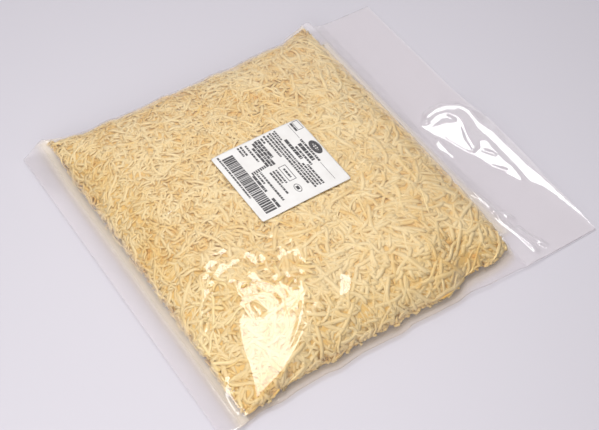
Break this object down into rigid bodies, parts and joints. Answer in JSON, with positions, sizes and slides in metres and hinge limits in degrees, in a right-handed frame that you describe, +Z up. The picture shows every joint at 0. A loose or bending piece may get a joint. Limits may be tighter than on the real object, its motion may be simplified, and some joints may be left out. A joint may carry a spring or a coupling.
{
  "type": "bag of grated cheese",
  "caption": "Clear film bag filled flat with grated cheese, sealed across both ends, with empty film beyond the seals and a square paper sticker on top.",
  "frame": {"origin": "middle of the base of the bag's box, on the surface that it lies on", "axes": "+X along the bag towards its long empty end, +Y across it, +Z up through the face with the sticker"},
  "size_m": [0.334, 0.3, 0.0391],
  "materials": {
    "grated_cheese": "pale ivory yellow shreds, soft and slightly greasy, under clear film",
    "clear_film": "thin clear glossy film, creased at the seals",
    "sticker_paper": "smooth white label paper",
    "sticker_ink": "matt black thermal print"
  },
  "bodies": {
    "root": {"filled_bag": "grated_cheese", "sticker": "sticker_paper"}
  },
  "joints": []
}
